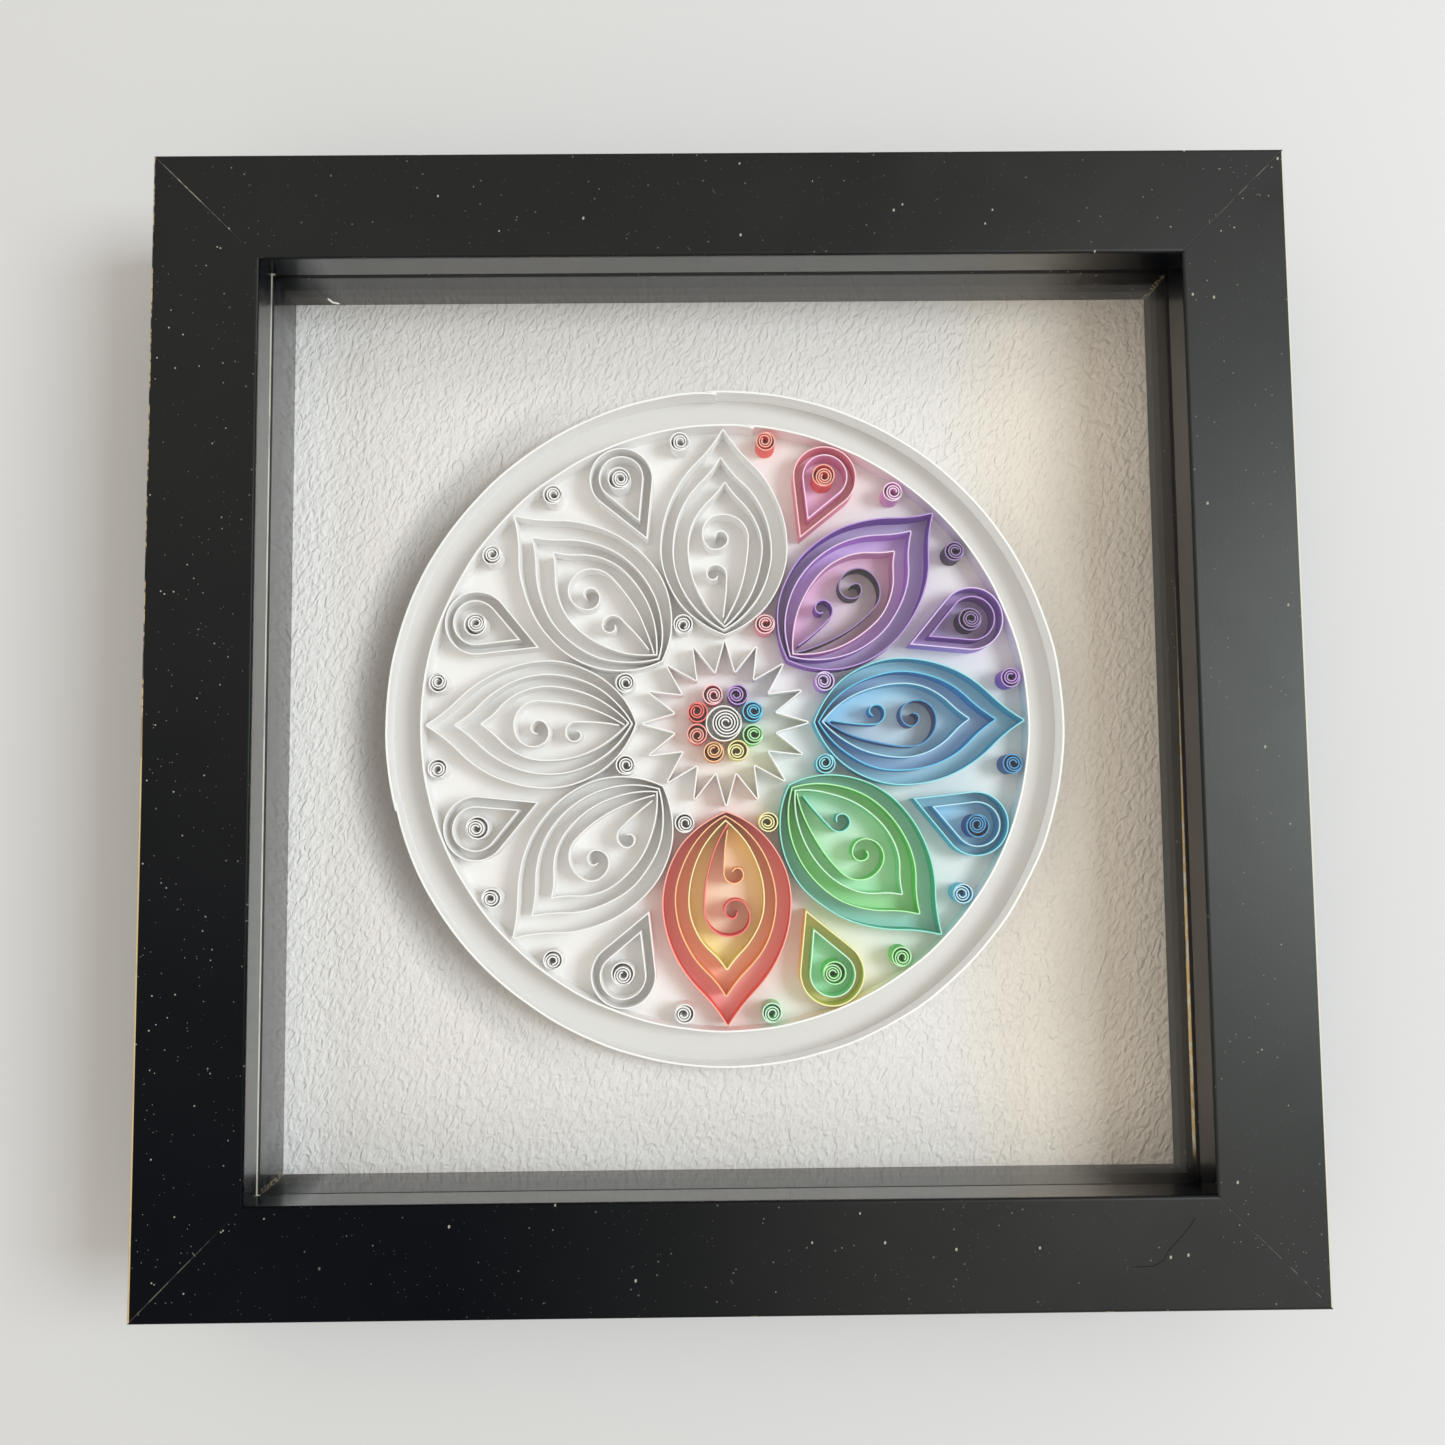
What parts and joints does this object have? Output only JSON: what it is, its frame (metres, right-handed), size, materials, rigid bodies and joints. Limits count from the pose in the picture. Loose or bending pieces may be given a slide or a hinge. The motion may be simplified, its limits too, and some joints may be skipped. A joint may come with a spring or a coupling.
{
  "type": "framed quilled paper art",
  "caption": "Square black box frame with a round quilled paper rosette, white and pastel, on embossed white card behind clear glazing.",
  "frame": {"origin": "middle of the frame's back, on the plane that it lies on", "axes": "+Z out of the front, +Y to the top of the picture, +X to its right"},
  "size_m": [0.25, 0.25, 0.045],
  "materials": {
    "frame": "satin near-black lacquer",
    "glazing": "clear, polished",
    "card": "embossed white, matt",
    "backing": "bare brown hardboard",
    "liner": "matt black paper wrap",
    "steel": "zinc plated",
    "white_paper": "smooth white, matt",
    "dyed_paper": "white and pastel quilling paper, matt"
  },
  "bodies": {
    "root": {"frame_rail_top": "frame", "frame_rail_left": "frame", "frame_rail_bottom": "frame", "frame_rail_right": "frame", "front_glazing": "glazing", "textured_card": "card", "backing_board": "backing", "liner_top": "liner", "liner_left": "liner", "liner_bottom": "liner", "liner_right": "liner", "backing_points": "steel", "sawtooth_hanger": "steel", "medallion_disc": "white_paper", "outer_ring": "white_paper", "inner_ring": "white_paper", "centre_coil": "dyed_paper", "folded_band": "dyed_paper", "petals": "dyed_paper", "scrolls": "dyed_paper", "drops": "dyed_paper", "drop_coils": "dyed_paper"}
  },
  "joints": []
}
